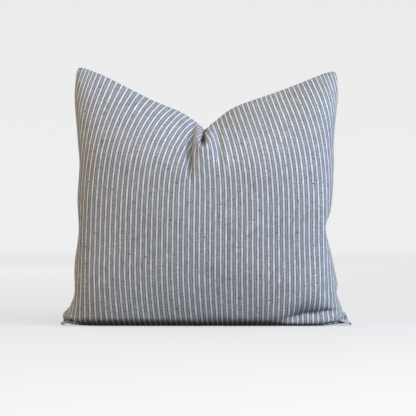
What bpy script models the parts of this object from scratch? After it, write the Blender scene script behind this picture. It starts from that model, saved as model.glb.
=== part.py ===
"""A square throw pillow: a zipped, striped cover over a filled insert, standing on its zip seam with a chopped top.

The pillow stands on z = 0, its front faces -Y and its seams lie in the plane y = 0. All sizes are in metres.
A soft layer is one function of two numbers: s runs from -1 at the left side seam to 1 at the right one, and row
runs from 0 at the bottom seam, under the pillow, over the belly to ROWS at the top seam.
"""

import math
from collections import namedtuple

import bmesh
import bpy
from mathutils import Matrix, Vector

MM = 0.001

# The filled cover
FILLED_WIDTH = 390 * MM  # between the side seams at mid height
FILLED_DEPTH = 172 * MM  # front to back at the fullest height
HEIGHT = 402 * MM  # from the floor to the top corners
BELLY_HEIGHT = 150 * MM  # where the pillow is fullest
TOP_FLARE = 9 * MM  # how far a top corner stands out past the side seam
FOOT_FLARE = 28 * MM  # how far a bottom corner stands out past the side seam
FOOT_FLARE_HEIGHT = 85 * MM  # the height over which the bottom corners spread
FOOT_INSET = 26 * MM  # how far behind the fullest depth the cover leaves the floor
EAR_LENGTH = 39 * MM  # the pinched corner at each end of the foot
EAR_TIP_HEIGHT = 4 * MM
CHOP_DEPTH = 102 * MM  # from the top corners down to the crease
CREASE_DEPTH = 34 * MM  # the steep part of the chop, in the middle
CREASE_WIDTH = 20 * MM  # the distance in which the steep part fades
CROWN_SHARPNESS = 2.2  # how flat the crown is across the middle
CROWN_FALL = 0.5  # how bluntly it falls to the side seams

# The cloth and the seams
COVER_CLOTH = 1.0 * MM
SEAM_GAP = 0.3 * MM  # between the two panels at the seam
SEAM_ROLL = 3.0 * MM  # how far each panel rolls round before it turns in
SEAM_ALLOWANCE = 8 * MM  # the turned-in edge
CLEARANCE = 0.3 * MM  # between pieces that touch
OVERLOCK_RADIUS = 0.6 * MM
STITCH_RADIUS = 0.25 * MM
STITCH_FROM_FOLD = 2.5 * MM  # the zip's stitching, from the folded edge of the panel

# The zip
GROOVE_HEIGHT = 8 * MM  # the height of the zip seam above the floor
ZIP_TO_EAR = 5 * MM  # from the end of the tape to the start of each pinched corner
TAPE_WIDTH = 12 * MM
TAPE_THICKNESS = 0.6 * MM
TAPE_OVERRUN = 6 * MM  # tape past each end of the slot
COIL_WIDTH = 1.65 * MM
COIL_HEIGHT = 2.0 * MM
CHAIN_GAP = 1.5 * MM  # between the two coils
FOLD_CLEARANCE = 1.1 * MM  # between the slider and the folded edges of the panels
GROOVE_MARGIN = 1.2 * MM  # flat cloth past the tape
GROOVE_FLANK = 8 * MM  # the slope from the groove down to the floor
STOP_LENGTH = 3 * MM
STOP_WALL = 0.5 * MM
BAR_TACK_SIZE = (2 * MM, 12 * MM, 0.5 * MM)

# The slider and its pull
SLIDER_LENGTH = 11 * MM
SLIDER_PLATE = 0.9 * MM
SLIDER_PLAY = 0.35 * MM  # round the coils and the tapes
SLIDER_FLANGE = 0.9 * MM
SLIDER_REST_GAP = 1.5 * MM  # between the slider and the top stops
DIVIDER_THICKNESS = 0.8 * MM
DIVIDER_LENGTH = 2.5 * MM
BRIDGE_LENGTH = 6 * MM
BRIDGE_THICKNESS = 1.0 * MM
PULL_LENGTH = 22 * MM
PULL_WIDTH = 5.4 * MM
PULL_THICKNESS = 0.9 * MM
PULL_PLAY = 0.3 * MM
PULL_EYE_LENGTH = 3.6 * MM
PULL_EYE_WIDTH = 2.4 * MM
PULL_HOLE_RADIUS = 1.1 * MM

# The insert
CASING_CLOTH = 0.6 * MM
CASING_ROLL = 1.5 * MM
CASING_INSET = 12.5 * MM  # from the cover's seam to the insert's seam
CASING_DEPTH_INSET = 5 * MM  # under the cover's face
CASING_LIFT = 4.5 * MM  # above the floor
CASING_OVER_SLIDER = 6 * MM
FILL_INSET = 4 * MM  # under the casing
LABEL_THICKNESS = 0.4 * MM
LABEL_INSET = 5 * MM  # the cover's label, inside the cover's side

# How finely the soft layers are meshed
COLUMNS = 20
EAR_COLUMNS = 4  # of them, in the two pinched corners
FOOT_ROWS = 4
BELLY_ROWS = 12
ROWS = FOOT_ROWS + BELLY_ROWS

# Derived sizes
HALF_FOOT = FILLED_WIDTH / 2 + FOOT_FLARE
EAR_START = 1 - EAR_LENGTH / HALF_FOOT
HALF_ZIP = HALF_FOOT - EAR_LENGTH - ZIP_TO_EAR - TAPE_OVERRUN
TAPE_BOTTOM = GROOVE_HEIGHT + COVER_CLOTH + CLEARANCE
TAPE_MIDDLE = TAPE_BOTTOM + TAPE_THICKNESS / 2
COIL_OUTSIDE = CHAIN_GAP / 2 + COIL_WIDTH
TAPE_INSIDE = COIL_OUTSIDE + CLEARANCE
CAVITY_HALF_WIDTH = COIL_OUTSIDE + SLIDER_PLAY
CAVITY_HALF_HEIGHT = COIL_HEIGHT / 2 + SLIDER_PLAY
SLIDER_HALF_WIDTH = CAVITY_HALF_WIDTH + SLIDER_FLANGE
SLIDER_HALF_HEIGHT = CAVITY_HALF_HEIGHT + SLIDER_PLATE
SLIDER_BOTTOM = TAPE_MIDDLE - SLIDER_HALF_HEIGHT
SLIDER_TOP = TAPE_MIDDLE + SLIDER_HALF_HEIGHT
SLIDER_X = HALF_ZIP - STOP_LENGTH - SLIDER_REST_GAP - SLIDER_LENGTH / 2
PULL_AXIS_Z = SLIDER_BOTTOM - PULL_PLAY - PULL_THICKNESS / 2
SLOT_HALF_WIDTH = SLIDER_HALF_WIDTH + FOLD_CLEARANCE
GROOVE_FLAT = TAPE_INSIDE + TAPE_WIDTH + GROOVE_MARGIN

# A soft layer: how far its seam lies inside the cover's, how far its face lies under the cover's, the height of
# its lowest face, the height of its bottom seam, and how far its faces stand off the seam plane at the seam.
Skin = namedtuple("Skin", "inset depth_inset floor groove roll")
COVER = Skin(0, 0, 0, GROOVE_HEIGHT, SEAM_GAP / 2 + SEAM_ROLL)
TURNED_EDGE = Skin(SEAM_ALLOWANCE, 0, SEAM_ALLOWANCE, GROOVE_HEIGHT + SEAM_ALLOWANCE, 0)
OVERLOCK_INSET = SEAM_ALLOWANCE + 2 * (CLEARANCE + OVERLOCK_RADIUS)
OVERLOCK = Skin(OVERLOCK_INSET, 0, OVERLOCK_INSET, GROOVE_HEIGHT + OVERLOCK_INSET, 0)
CASING_GROOVE = SLIDER_TOP + CASING_OVER_SLIDER
CASING = Skin(CASING_INSET, CASING_DEPTH_INSET, CASING_LIFT, CASING_GROOVE, SEAM_GAP / 2 + CASING_ROLL)
FILL_UNDER = CASING_CLOTH + FILL_INSET
FILL = Skin(
    CASING_INSET + FILL_UNDER,
    CASING_DEPTH_INSET + FILL_UNDER,
    CASING_LIFT + FILL_UNDER,
    CASING_GROOVE + FILL_UNDER,
    SEAM_GAP,
)
COVER_LABEL = Skin(LABEL_INSET, LABEL_INSET / 2, LABEL_INSET, GROOVE_HEIGHT, COVER.roll)
CASING_SEAM = CASING_INSET + CASING_CLOTH + 2 * (CLEARANCE + STITCH_RADIUS)
CASING_THREAD = Skin(CASING_SEAM, 0, CASING_LIFT + CASING_CLOTH, CASING_GROOVE + CASING_CLOTH + 2 * CLEARANCE, 0)
CASING_LABEL_LIFT = LABEL_THICKNESS + 4 * CLEARANCE
CASING_LABEL = Skin(
    CASING_INSET - CASING_LABEL_LIFT,
    CASING_DEPTH_INSET - CASING_LABEL_LIFT,
    CASING_LIFT,
    CASING_GROOVE,
    CASING.roll,
)

pillow = bpy.data.collections.new("throw_pillow")
cutters = bpy.data.collections.new("cutters")


# ---------------------------------------------------------------- the pillow's form


def side_seam(z):
    """Half the width between the side seams at a height."""
    rise = max(0.0, (z - BELLY_HEIGHT) / (HEIGHT - BELLY_HEIGHT))
    spread = max(0.0, 1 - z / FOOT_FLARE_HEIGHT)
    return FILLED_WIDTH / 2 + TOP_FLARE * rise**2 + FOOT_FLARE * spread**1.5


def top_seam(s):
    """The height of the top seam: two slopes down from the corners, and a steep crease between them."""
    x = abs(s) * side_seam(HEIGHT)
    slope = (CHOP_DEPTH - CREASE_DEPTH) * (1 - abs(s))
    return HEIGHT - slope - CREASE_DEPTH * math.exp(-x / CREASE_WIDTH)


def crown(s):
    """The share of the full depth that is left towards the side seams."""
    return max(0.0, 1 - abs(s) ** CROWN_SHARPNESS) ** CROWN_FALL


def ear(s):
    """0 along the foot, rising to 1 at the tip of each bottom corner."""
    return max(0.0, (abs(s) - EAR_START) / (1 - EAR_START)) ** 1.5


def section(s, row, skin):
    """(distance from the seam plane, height) on the slice through the pillow at s, without the roll of the seam."""
    full = FILLED_DEPTH / 2 - COVER.roll
    foot_share = (full - FOOT_INSET) / full
    depth = (full - skin.depth_inset) * crown(s)
    foot = depth * foot_share
    if row <= FOOT_ROWS:
        wider = 0.8 * skin.depth_inset * crown(s)
        flat = wider + min(GROOVE_FLAT - skin.roll, 0.45 * foot)
        edge = wider + min(GROOVE_FLAT + GROOVE_FLANK - skin.roll, 0.7 * foot)
        depths = (0, flat, edge, (edge + foot) / 2, foot, foot)
        heights = (skin.groove, skin.groove, skin.floor, skin.floor, skin.floor, skin.floor)
        low = min(int(row), FOOT_ROWS)
        part = row - low
        return (
            depths[low] + part * (depths[low + 1] - depths[low]),
            heights[low] + part * (heights[low + 1] - heights[low]),
        )
    below = (BELLY_HEIGHT - skin.floor) / math.sqrt(1 - foot_share**2)
    start = -math.acos(foot_share)
    angle = start + (math.pi / 2 - start) * (row - FOOT_ROWS) / BELLY_ROWS
    above = top_seam(s) - skin.inset - BELLY_HEIGHT
    reach = above if angle > 0 else below
    return depth * math.cos(angle), BELLY_HEIGHT + reach * math.sin(angle)


def layer_point(s, row, skin):
    """A point on the front of a soft layer."""
    depth, z = section(s, row, skin)
    tip = EAR_TIP_HEIGHT + skin.inset
    top = top_seam(s) - skin.inset
    z += ear(s) * (tip + (top - tip) * (row / ROWS) ** 1.2 - z)
    return Vector((s * (side_seam(z) - skin.inset), -skin.roll - depth, z))


def spaced(u):
    """Columns closer together at the crease, with one where each pinched corner starts."""
    outer = EAR_COLUMNS / COLUMNS
    inner = 1 - outer
    if abs(u) > inner:
        return math.copysign(1 - (1 - abs(u)) / outer * (1 - EAR_START), u)
    share = u / inner
    return EAR_START * (share - 0.5 * math.sin(math.pi * share) / math.pi)


# ---------------------------------------------------------------- materials and objects


def material(name, colour, roughness, metallic=0.0):
    made = bpy.data.materials.new(name)
    made.use_nodes = True
    shader = made.node_tree.nodes["Principled BSDF"]
    shader.inputs["Base Color"].default_value = (*colour, 1)
    shader.inputs["Roughness"].default_value = roughness
    shader.inputs["Metallic"].default_value = metallic
    made.diffuse_color = (*colour, 1)
    return made


def finished(made, collection=pillow):
    """Moves an object into a collection and shades it smooth, with sharp edges where it turns hard."""
    for old in list(made.users_collection):
        old.objects.unlink(made)
    collection.objects.link(made)
    if made.type == "MESH":
        made.data.shade_smooth()
        made.data.set_sharp_from_angle(angle=math.radians(35))
    return made


def new_mesh_object(name, bm, finish):
    mesh = bpy.data.meshes.new(name)
    bm.to_mesh(mesh)
    bm.free()
    made = bpy.data.objects.new(name, mesh)
    bpy.context.scene.collection.objects.link(made)
    made.data.materials.append(finish)
    return finished(made)


def block(name, low, high, finish=None, bevel=0.0):
    """A box between two corners, with its edges rounded."""
    low, high = Vector(low), Vector(high)
    bpy.ops.mesh.primitive_cube_add(size=1, location=(low + high) / 2)
    made = bpy.context.object
    made.name = name
    made.data.transform(Matrix.Diagonal((*(high - low), 1)))
    if finish:
        made.data.materials.append(finish)
    if bevel:
        rounded = made.modifiers.new("edges", "BEVEL")
        rounded.width = bevel
        rounded.segments = 2
    return finished(made)


def helper(made):
    """Hides an object that only cuts or joins others."""
    finished(made, cutters)
    made.hide_render = True
    made.display_type = "WIRE"
    return made


def boolean(made, other, operation):
    modifier = made.modifiers.new(f"{operation.lower()} {other.name}", "BOOLEAN")
    modifier.object = other
    modifier.operation = operation
    return made


def thread(name, points, radius, finish):
    """A round thread through the points, with closed ends."""
    data = bpy.data.curves.new(name, "CURVE")
    data.dimensions = "3D"
    data.bevel_depth = radius
    data.bevel_resolution = 1
    data.use_fill_caps = True
    line = data.splines.new("POLY")
    line.points.add(len(points) - 1)
    for spot, point in zip(line.points, points):
        spot.co = (*point, 1)
    made = bpy.data.objects.new(name, data)
    bpy.context.scene.collection.objects.link(made)
    made.data.materials.append(finish)
    return finished(made)


# ---------------------------------------------------------------- soft layers


def layer_mesh(skin, side, columns, rows, s_range=(-1, 1), row_range=(0, ROWS)):
    """A sheet of a layer on the front (side -1) or back (side 1), with its faces out and s and row kept on it."""
    bm = bmesh.new()
    kept_s = bm.verts.layers.float.new("s")
    kept_row = bm.verts.layers.float.new("row")
    bmesh.ops.create_grid(bm, x_segments=columns, y_segments=rows, size=1)
    for vert in bm.verts:
        whole = s_range == (-1, 1)
        across = spaced(vert.co.x) if whole else vert.co.x
        vert[kept_s] = s_range[0] + (across + 1) / 2 * (s_range[1] - s_range[0])
        vert[kept_row] = row_range[0] + (vert.co.y + 1) / 2 * (row_range[1] - row_range[0])
        vert.co = layer_point(vert[kept_s], vert[kept_row], skin)
        vert.co.y *= -side
    if side > 0:
        bmesh.ops.reverse_faces(bm, faces=bm.faces)
    return bm


def turned_edge(bm, place):
    """Adds a ring of faces round the open edge of a sheet, and puts each new corner where place says."""
    kept_s = bm.verts.layers.float["s"]
    kept_row = bm.verts.layers.float["row"]
    border = [edge for edge in bm.edges if edge.is_boundary]
    made = bmesh.ops.extrude_edge_only(bm, edges=border)
    for vert in (piece for piece in made["geom"] if isinstance(piece, bmesh.types.BMVert)):
        vert.co = place(vert.co, vert[kept_s], vert[kept_row])


def cloth(made, thickness):
    """Gives a sheet its thickness, inwards from its face."""
    solid = made.modifiers.new("cloth", "SOLIDIFY")
    solid.thickness = thickness
    solid.offset = -1
    return made


def cover_panel(name, side, slot, finish):
    """Half of the cover, with a rolled seam and its edge turned in, open along the zip."""
    bm = layer_mesh(COVER, side, COLUMNS, ROWS)
    at_seam = side * SEAM_GAP / 2
    turned_edge(bm, lambda old, s, row: Vector((old.x, at_seam, old.z)))

    def turned_in(_old, s, row):
        point = layer_point(s, row, TURNED_EDGE)
        return Vector((point.x, at_seam, point.z))

    turned_edge(bm, turned_in)
    made = cloth(new_mesh_object(name, bm, finish), COVER_CLOTH)
    return boolean(made, slot, "DIFFERENCE")


def casing_panel(name, side, finish):
    """Half of the insert's casing."""
    bm = layer_mesh(CASING, side, COLUMNS, ROWS)
    turned_edge(bm, lambda old, s, row: Vector((old.x, side * SEAM_GAP / 2, old.z)))
    return cloth(new_mesh_object(name, bm, finish), CASING_CLOTH)


def filling(name, finish):
    """The whole body of filling, the same front and back."""
    bm = layer_mesh(FILL, -1, COLUMNS, ROWS)
    turned_edge(bm, lambda old, s, row: Vector((old.x, 0, old.z)))
    made = new_mesh_object(name, bm, finish)
    whole = made.modifiers.new("back half", "MIRROR")
    whole.use_axis = (False, True, False)
    whole.merge_threshold = 0.0001
    return made


def care_label(name, skin, s_range, row_range, finish):
    """A blank woven label that lies against the back of a layer."""
    bm = layer_mesh(skin, 1, 3, 4, s_range, row_range)
    return cloth(new_mesh_object(name, bm, finish), LABEL_THICKNESS)


def seam_threads(finish):
    """The overlocked edge of the two side seams and of the top seam, and the closing seam of the insert."""
    side_rows = [row + 1 for row in range(ROWS - 1)]
    for name, s in (("overlock_thread_left", -1), ("overlock_thread_right", 1)):
        points = [layer_point(s, row, OVERLOCK) for row in side_rows]
        thread(name, points, OVERLOCK_RADIUS, finish)
    across = [spaced(2 * column / COLUMNS - 1) for column in range(1, COLUMNS)]
    thread("overlock_thread_top", [layer_point(s, ROWS, OVERLOCK) for s in across], OVERLOCK_RADIUS, finish)
    closing = [layer_point(s, ROWS, CASING_THREAD) for s in across]
    thread("insert_seam_thread", closing, STITCH_RADIUS, finish)


# ---------------------------------------------------------------- the zip


def zip_side(end, side, tape_finish, coil_finish, stop_finish, thread_finish):
    """One tape with its coil, top stop and line of stitching. side is -1 at the front and 1 at the back."""

    def placed(name, x_range, y_range, z_half, finish, bevel=0.0, middle=TAPE_MIDDLE):
        near, far = sorted(side * y for y in y_range)
        low = (x_range[0], near, middle - z_half)
        return block(name, low, (x_range[1], far, middle + z_half), finish, bevel)

    tape_end = HALF_ZIP + TAPE_OVERRUN
    tape = (TAPE_INSIDE, TAPE_INSIDE + TAPE_WIDTH)
    placed(f"zip_tape_{end}", (-tape_end, tape_end), tape, TAPE_THICKNESS / 2, tape_finish)
    coil_start = -HALF_ZIP + STOP_LENGTH + CLEARANCE
    coil_end = HALF_ZIP - STOP_LENGTH - CLEARANCE
    coil = (CHAIN_GAP / 2, COIL_OUTSIDE)
    placed(f"zip_coil_{end}", (coil_start, coil_end), coil, COIL_HEIGHT / 2, coil_finish, COIL_WIDTH / 4)
    stop_half = COIL_HEIGHT / 2 + STOP_WALL / 2
    placed(f"zip_top_stop_{end}", (HALF_ZIP - STOP_LENGTH, HALF_ZIP), coil, stop_half, stop_finish, STOP_WALL / 2)
    stitch_y = side * (SLOT_HALF_WIDTH + STITCH_FROM_FOLD)
    stitch_z = GROOVE_HEIGHT - CLEARANCE - STITCH_RADIUS
    ends = [(x, stitch_y, stitch_z) for x in (-HALF_ZIP, HALF_ZIP)]
    thread(f"zip_stitching_{end}", ends, STITCH_RADIUS, thread_finish)


def zip_ends(stop_finish, thread_finish):
    """The bottom stop across both coils, and a bar tack across the seam at each end of the slot."""
    half = COIL_HEIGHT / 2 + STOP_WALL / 2
    low = (-HALF_ZIP, -COIL_OUTSIDE, TAPE_MIDDLE - half)
    high = (-HALF_ZIP + STOP_LENGTH, COIL_OUTSIDE, TAPE_MIDDLE + half)
    block("zip_bottom_stop", low, high, stop_finish, STOP_WALL / 2)
    length, width, thickness = BAR_TACK_SIZE
    for name, direction in (("bar_tack_left", -1), ("bar_tack_right", 1)):
        middle = direction * (HALF_ZIP + length)
        low = (middle - length / 2, -width / 2, GROOVE_HEIGHT - CLEARANCE - thickness)
        block(name, low, (middle + length / 2, width / 2, GROOVE_HEIGHT - CLEARANCE), thread_finish)


def zip_slider(finish):
    """Two plates with flanges round the coils, joined by the divider, with a bridge below for the pull."""
    left, right = SLIDER_X - SLIDER_LENGTH / 2, SLIDER_X + SLIDER_LENGTH / 2
    wide = SLIDER_HALF_WIDTH
    made = block("zip_slider", (left, -wide, SLIDER_BOTTOM), (right, wide, SLIDER_TOP), finish, SLIDER_PLATE / 3)
    slot = TAPE_THICKNESS / 2 + SLIDER_PLAY
    past = SLIDER_LENGTH
    cavity_low = (left - past, -CAVITY_HALF_WIDTH, TAPE_MIDDLE - CAVITY_HALF_HEIGHT)
    cavity_high = (right + past, CAVITY_HALF_WIDTH, TAPE_MIDDLE + CAVITY_HALF_HEIGHT)
    channel = helper(block("coil_channel", cavity_low, cavity_high))
    slots_low = (left - past, -wide - past, TAPE_MIDDLE - slot)
    slots = helper(block("tape_slots", slots_low, (right + past, wide + past, TAPE_MIDDLE + slot)))
    for cutter in (channel, slots):
        boolean(made, cutter, "DIFFERENCE")
    bite = SLIDER_PLATE / 2
    divider_low = (right - 2 * DIVIDER_LENGTH, -DIVIDER_THICKNESS / 2, SLIDER_BOTTOM + bite)
    divider_high = (right - DIVIDER_LENGTH, DIVIDER_THICKNESS / 2, SLIDER_TOP - bite)
    boolean(made, helper(block("divider", divider_low, divider_high)), "UNION")
    arch_bottom = PULL_AXIS_Z - PULL_THICKNESS / 2 - PULL_PLAY - BRIDGE_THICKNESS
    half = BRIDGE_LENGTH / 2
    arch_low = (SLIDER_X - half, -BRIDGE_THICKNESS / 2, arch_bottom)
    arch_high = (SLIDER_X + half, BRIDGE_THICKNESS / 2, SLIDER_BOTTOM + bite)
    arch = helper(block("bridge", arch_low, arch_high, bevel=BRIDGE_THICKNESS / 5))
    inside = half - BRIDGE_THICKNESS
    gap_low = (SLIDER_X - inside, -BRIDGE_THICKNESS, arch_bottom + BRIDGE_THICKNESS)
    gap = helper(block("bridge_gap", gap_low, (SLIDER_X + inside, BRIDGE_THICKNESS, SLIDER_BOTTOM)))
    boolean(arch, gap, "DIFFERENCE")
    boolean(made, arch, "UNION")


def zip_pull(finish):
    """A flat tab whose eye holds the bridge. Its origin is on its hinge, and it points to the open end."""
    half = PULL_THICKNESS / 2
    data = bpy.data.curves.new("zip_pull", "CURVE")
    data.dimensions = "2D"
    data.fill_mode = "BOTH"
    data.extrude = half

    def ring(points):
        line = data.splines.new("POLY")
        line.points.add(len(points) - 1)
        for spot, (x, y) in zip(line.points, points):
            spot.co = (x, y, 0, 1)
        line.use_cyclic_u = True

    wide = PULL_WIDTH / 2
    turn = [math.pi / 2 + math.pi * step / 12 for step in range(13)]
    tip = -PULL_LENGTH + wide
    ring([(half, -wide), (half, wide)] + [(tip + wide * math.cos(a), wide * math.sin(a)) for a in turn])
    eye = PULL_EYE_WIDTH / 2
    near, far = -half, -half - PULL_EYE_LENGTH
    ring([(near, -eye), (near, eye), (far, eye), (far, -eye)])
    circle = [2 * math.pi * step / 16 for step in range(16)]
    ring([(tip + PULL_HOLE_RADIUS * math.cos(a), PULL_HOLE_RADIUS * math.sin(a)) for a in circle])
    made = bpy.data.objects.new("zip_pull", data)
    made.location = (SLIDER_X, 0, PULL_AXIS_Z)
    bpy.context.scene.collection.objects.link(made)
    made.data.materials.append(finish)
    return finished(made)


# ---------------------------------------------------------------- the pillow


def main():
    for old in list(bpy.data.objects):
        bpy.data.objects.remove(old)
    for collection in (pillow, cutters):
        bpy.context.scene.collection.children.link(collection)

    stripe = material("striped_cotton", (0.30, 0.34, 0.42), 0.9)
    ticking = material("white_cotton", (0.86, 0.85, 0.82), 0.9)
    fibre = material("polyester_fibre", (0.93, 0.93, 0.92), 0.95)
    tape = material("zip_tape", (0.24, 0.28, 0.36), 0.85)
    nylon = material("nylon_coil", (0.20, 0.24, 0.31), 0.45)
    nickel = material("nickel_plate", (0.66, 0.65, 0.62), 0.3, 1.0)
    yarn = material("sewing_thread", (0.36, 0.40, 0.48), 0.8)
    satin = material("satin_label", (0.92, 0.91, 0.88), 0.6)

    slot_low = (-HALF_ZIP, -SLOT_HALF_WIDTH, -GROOVE_HEIGHT)
    slot_high = (HALF_ZIP, SLOT_HALF_WIDTH, GROOVE_HEIGHT + 2 * SEAM_ALLOWANCE)
    slot = helper(block("zip_slot", slot_low, slot_high))
    cover_panel("cover_front_panel", -1, slot, stripe)
    cover_panel("cover_back_panel", 1, slot, stripe)
    seam_threads(yarn)

    for end, side in (("front", -1), ("back", 1)):
        zip_side(end, side, tape, nylon, nickel, yarn)
    zip_ends(nickel, yarn)
    zip_slider(nickel)
    zip_pull(nickel)

    casing_panel("insert_casing_front", -1, ticking)
    casing_panel("insert_casing_back", 1, ticking)
    filling("insert_filling", fibre)
    label_rows = (FOOT_ROWS + 2, FOOT_ROWS + 4)
    care_label("cover_care_label", COVER_LABEL, (0.80, 0.93), label_rows, satin)
    care_label("insert_care_label", CASING_LABEL, (-0.90, -0.76), label_rows, satin)


main()
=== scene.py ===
"""A striped throw pillow, standing on its zip seam with a chopped top: the look of every piece.

The cover is two square panels of cloth, sewn along their edges and let settle over the filling by a
small cloth solver. The insert and the filling take their form from the settled cover. Lengths are in
metres.
"""

import math

import bpy
import numpy as np
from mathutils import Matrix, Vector, noise
from mathutils.kdtree import KDTree


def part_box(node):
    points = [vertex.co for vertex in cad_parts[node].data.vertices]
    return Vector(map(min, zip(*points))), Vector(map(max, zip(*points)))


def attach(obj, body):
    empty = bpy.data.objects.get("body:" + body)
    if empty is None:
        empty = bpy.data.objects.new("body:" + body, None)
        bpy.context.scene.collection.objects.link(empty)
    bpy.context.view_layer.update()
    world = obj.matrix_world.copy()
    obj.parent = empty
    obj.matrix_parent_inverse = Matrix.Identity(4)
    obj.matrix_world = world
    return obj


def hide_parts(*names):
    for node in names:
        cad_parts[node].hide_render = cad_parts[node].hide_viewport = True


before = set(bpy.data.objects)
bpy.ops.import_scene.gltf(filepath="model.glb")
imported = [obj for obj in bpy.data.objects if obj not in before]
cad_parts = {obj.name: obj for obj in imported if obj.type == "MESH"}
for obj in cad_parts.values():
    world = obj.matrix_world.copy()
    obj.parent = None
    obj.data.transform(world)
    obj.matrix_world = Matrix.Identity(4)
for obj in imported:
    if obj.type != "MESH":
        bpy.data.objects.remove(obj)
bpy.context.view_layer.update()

MM = 0.001

# The cloth
COVER_SIZE = 508 * MM  # the cut square, seam to seam
STRIPES = 65  # cream stripes across a panel
PITCH = COVER_SIZE / STRIPES / MM  # from stripe to stripe, 7.8 mm, in millimetres
GATHERED_SIZE = 488 * MM  # the panel's width once its edges are eased into the seams
SIDE_EASE = 468 * MM  # a side seam, eased
CLOTH_THICKNESS = 0.6 * MM
BELLY_DEPTH = 86 * MM
BELLY_HEIGHT = 150 * MM
FLOOR_GAP = 0.8 * MM
PANELS = ((0, -1), (1, 1))  # the front and the back: each one's number, and the way it faces along y
FIRST_POINTS = 33  # along a panel's side before it is made finer

# Seen from the front, in millimetres: the line of each side seam from its top corner down, and of the
# top edge from left to right through the chop.
LEFT_SEAM = [
    (-198, 402), (-203.5, 396), (-205, 382), (-204, 350), (-197, 275), (-194.5, 246), (-198, 194),
    (-195, 146), (-202.5, 95), (-201.5, 52), (-208, 34), (-217, 14), (-222, 4),
]
RIGHT_SEAM = [
    (199, 395), (204, 389), (205, 377), (204, 360), (196, 290), (195, 237), (190, 180), (180.5, 151),
    (190, 115), (201, 66), (199, 52), (209, 26), (219, 4),
]
TOP_SEAM = [
    (-198, 402), (-186, 401), (-168, 394), (-148, 385), (-84, 352.5), (-38, 333), (-14, 315),
    (-5.5, 302), (-6, 290), (1, 300.5), (12, 316), (31, 334), (54, 346), (117, 368), (175, 391),
    (189, 395.5), (199, 395),
]
LEFT_EAR = (-221, -47, 3)  # the tips of the bottom corners, which lie on the floor
RIGHT_EAR = (220, -45, 3)
SEAM_FREEDOM = 3.5 * MM  # how far a seam may stray from its line as the cloth settles

# The zip, from the frame
SEAM_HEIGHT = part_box("zip_stitching_front")[1][2] / MM + 0.3  # of the cloth along the zip, in mm
SLOT_HALF_WIDTH = 4.75 * MM
SLOT_HALF_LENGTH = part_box("zip_stitching_front")[1][0]
COIL_WIRE = 0.2 * MM  # the radius of the nylon
COIL_TEETH = 282
STEPS_A_TOOTH = 14
ZIP_STITCH = 3 * MM
BAR_TACK_PASSES = 34
METAL_NODES = ("zip_slider", "zip_pull", "zip_top_stop_front", "zip_top_stop_back", "zip_bottom_stop")

# Sewing and the insert
OVERLOCK_STITCHES = 170  # along each seam
OVERLOCK_SPAN = {"left": (0.25, 0.94), "right": (0.25, 0.94), "top": (0.05, 0.95)}  # shares of the seam
CASE_GAP = 5 * MM  # from the cover's cloth to the case
FILLING_GAP = CASE_GAP + 5 * MM

# The yarns of the cover
STRIPE, FIELD_DARK, FIELD_LIGHT, SLUB = "#c1bfbb", "#6a717a", "#868c95", "#24262e"

# The studio: each soft box's place, size, power and colour
SOFT_BOXES = {
    "top_softbox": ((0.5, -1.0, 2.4), (3.0, 2.6), 8, "#ffffff"),
    "front_softbox": ((1.0, -3.0, 2.1), (2.4, 1.8), 68, "#fff9ec"),
    "right_softbox": ((2.5, -1.4, 0.95), (1.6, 1.8), 112, "#d3e3ff"),
    "back_softbox": ((-1.2, 3.0, 1.9), (2.4, 1.8), 26, "#ffffff"),
    "left_softbox": ((-2.8, -1.1, 0.9), (1.4, 1.6), 46, "#ffdfbf"),
}
SOFT_BOX_AIM = (0, 0, 0.2)
PAPER_GLOW = (0.52, 0.72)  # under the pillow, and far from it
SKY_STRENGTH = 0.8
CAMERA_PLACE = (0.0023, -3.0, 0.17)
CAMERA_AIM = (0.0023, 0, 0.181)
VIEW_WIDTH = 0.6448  # what the picture takes in at the pillow
SENSOR = 36  # millimetres


# ---------------------------------------------------------------- lines


def run_along(line):
    """How far along a line each of its points lies."""
    return np.concatenate([[0], np.cumsum(np.linalg.norm(np.diff(line, axis=0), axis=1))])


def evenly(line, count):
    """Points at equal steps along a line of points."""
    run = run_along(line)
    steps = np.linspace(0, run[-1], count)
    return np.stack([np.interp(steps, run, line[:, axis]) for axis in range(3)], 1)


def smooth_line(points, count):
    """Points at equal steps along a smooth curve through a few points."""
    through = np.array(points, float)
    ends = np.vstack([2 * through[0] - through[1], through, 2 * through[-1] - through[-2]])
    t = np.linspace(0, 1, 24, endpoint=False)[:, None]
    pieces = []
    for a, b, c, d in zip(ends, ends[1:], ends[2:], ends[3:]):
        bow, twist = 2 * a - 5 * b + 4 * c - d, 3 * b - a - 3 * c + d
        pieces.append(0.5 * (2 * b + (c - a) * t + bow * t**2 + twist * t**3))
    return evenly(np.vstack([*pieces, through[-1:]]), count)


def seam_lines(count):
    """The left, right, top and bottom seams, count points each, from the bottom up and left to right."""

    def upright(points):
        return [(x, 0, z) for x, z in points]

    left = [LEFT_EAR, *upright(LEFT_SEAM)[::-1]]
    right = [RIGHT_EAR, *upright(RIGHT_SEAM)[::-1]]
    flat = [(x, 0, SEAM_HEIGHT) for x in (-170, -80, 0, 80, 170)]
    near_left = [(-206, -16, 6), (-189, -2, SEAM_HEIGHT)]
    near_right = [(189, -2, SEAM_HEIGHT), (205, -15, 6)]
    bottom = [LEFT_EAR, *near_left, *flat, *near_right, RIGHT_EAR]
    return [smooth_line(line, count) * MM for line in (left, right, upright(TOP_SEAM), bottom)]


def slot_opening(x):
    """How far a panel's folded edge lies from the seam's middle: open along the zip, closed past it."""
    closing = 13 * MM
    return SLOT_HALF_WIDTH * np.clip((SLOT_HALF_LENGTH + closing - np.abs(x)) / closing, 0, 1)


# ---------------------------------------------------------------- settling the cloth


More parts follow.
